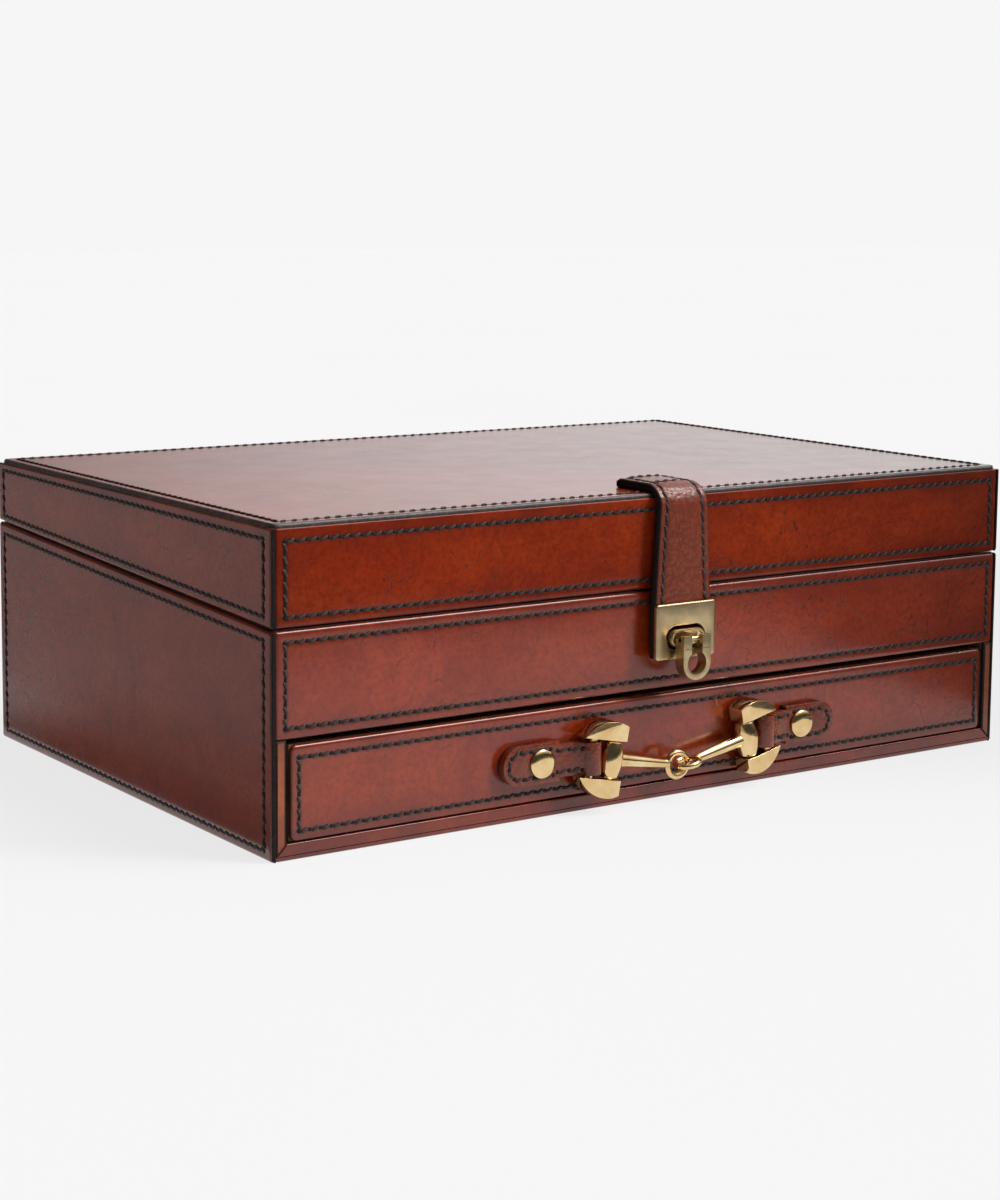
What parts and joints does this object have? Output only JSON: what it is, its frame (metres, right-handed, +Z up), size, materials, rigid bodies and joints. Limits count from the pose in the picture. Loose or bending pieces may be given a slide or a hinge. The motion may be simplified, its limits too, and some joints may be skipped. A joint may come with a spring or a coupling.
{
  "type": "leather jewellery case",
  "caption": "Leather-covered jewellery case with a hinged wedge lid, strap-and-bail latch, lined tray with ring rolls, and a lower drawer pulled by a brass horse-bit handle.",
  "frame": {"origin": "centre of the underside of the case", "axes": "+X across the front to the right, +Y from the front to the back, +Z up"},
  "size_m": [0.32, 0.2301, 0.1116],
  "materials": {
    "cover_leather": "glazed chestnut hide with waxed thread stitching and dark burnished edges",
    "edge_leather": "lighter smooth hide strip with dark burnished edges",
    "strap_leather": "pebbled doubled strap leather, stitched round its edge",
    "board": "plain smooth board",
    "suede": "soft tan suede lining",
    "felt": "thin dark felt",
    "latch_brass": "satin antique brass",
    "hinge_brass": "satin brass",
    "bit_brass": "polished yellow brass"
  },
  "bodies": {
    "case": {"floor_board": "board", "left_wall_board": "board", "right_wall_board": "board", "back_wall_board": "board", "front_band_board": "board", "shelf_board": "board", "base_leather": "cover_leather", "left_side_leather": "cover_leather", "right_side_leather": "cover_leather", "back_leather": "cover_leather", "front_band_leather": "cover_leather", "left_post_leather": "edge_leather", "right_post_leather": "edge_leather", "bottom_rail_leather": "edge_leather", "tray_floor_lining": "suede", "tray_wall_lining": "suede", "tray_long_divider": "suede", "tray_cross_dividers": "suede", "ring_rolls": "suede", "drawer_glides": "felt", "lock_base": "latch_brass", "lock_screws": "latch_brass", "bail_pin": "latch_brass", "hinge_lower_leaves": "hinge_brass", "hinge_lower_screws": "hinge_brass", "hinge_pins": "hinge_brass"},
    "lid": {"lid_board": "board", "lid_front_board": "board", "lid_back_board": "board", "lid_left_board": "board", "lid_right_board": "board", "lid_top_leather": "cover_leather", "lid_front_leather": "cover_leather", "lid_back_leather": "cover_leather", "lid_left_leather": "cover_leather", "lid_right_leather": "cover_leather", "lid_wall_lining": "suede", "lid_pad": "suede", "hinge_upper_leaves": "hinge_brass", "hinge_upper_screws": "hinge_brass", "strap_root": "strap_leather"},
    "strap": {"strap_tongue": "strap_leather", "eyelet_plate": "latch_brass"},
    "bail": {"bail": "latch_brass"},
    "drawer": {"drawer_front_board": "board", "drawer_front_leather": "cover_leather", "drawer_left_side": "board", "drawer_right_side": "board", "drawer_back": "board", "drawer_bottom": "board", "drawer_lining": "suede", "drawer_dividers": "suede", "left_pull_tab": "strap_leather", "right_pull_tab": "strap_leather", "pull_rivets": "bit_brass", "rivet_washers": "bit_brass"},
    "left_cheek": {"left_cheek": "bit_brass"},
    "left_arm": {"left_arm": "bit_brass"},
    "right_cheek": {"right_cheek": "bit_brass"},
    "right_arm": {"right_arm": "bit_brass"}
  },
  "joints": [
    {"name": "lid_hinge", "type": "hinge", "parent": "case", "child": "lid", "pos_m": [0, 0.1088, 0.0842], "axis": [-1, 0, 0], "range_deg": [0, 95]},
    {"name": "strap_swing", "type": "hinge", "parent": "lid", "child": "strap", "pos_m": [0.001, -0.1093, 0.1065], "axis": [-1, 0, 0], "range_deg": [0, 90]},
    {"name": "bail_flip", "type": "hinge", "parent": "case", "child": "bail", "pos_m": [0.001, -0.1166, 0.0578], "axis": [-1, 0, 0], "range_deg": [0, 90]},
    {"name": "drawer_slide", "type": "slide", "parent": "case", "child": "drawer", "axis": [0, -1, 0], "range_m": [0, 0.15]},
    {"name": "left_cheek_swing", "type": "hinge", "parent": "drawer", "child": "left_cheek", "pos_m": [-0.0388, -0.1114, 0.0198], "axis": [-0.1822, 0, -0.9833], "range_deg": [0, 10]},
    {"name": "left_arm_turn", "type": "hinge", "parent": "left_cheek", "child": "left_arm", "pos_m": [-0.03044, -0.1114, 0.01825], "axis": [-0.1822, 0, -0.9833], "range_deg": [-3.1, 0.1]},
    {"name": "right_cheek_swing", "type": "hinge", "parent": "drawer", "child": "right_cheek", "pos_m": [0.0388, -0.1114, 0.0198], "axis": [-0.1822, 0, 0.9833], "range_deg": [-0.1, 10.1]},
    {"name": "right_arm_turn", "type": "hinge", "parent": "right_cheek", "child": "right_arm", "pos_m": [0.03044, -0.1114, 0.01825], "axis": [-0.1822, 0, 0.9833], "range_deg": [-3.1, 0.1]}
  ],
  "couplings": [
    {"joint": "left_arm_turn", "follows": "left_cheek_swing", "ratio": -0.3},
    {"joint": "right_cheek_swing", "follows": "left_cheek_swing", "ratio": 1},
    {"joint": "right_arm_turn", "follows": "left_cheek_swing", "ratio": -0.3}
  ]
}
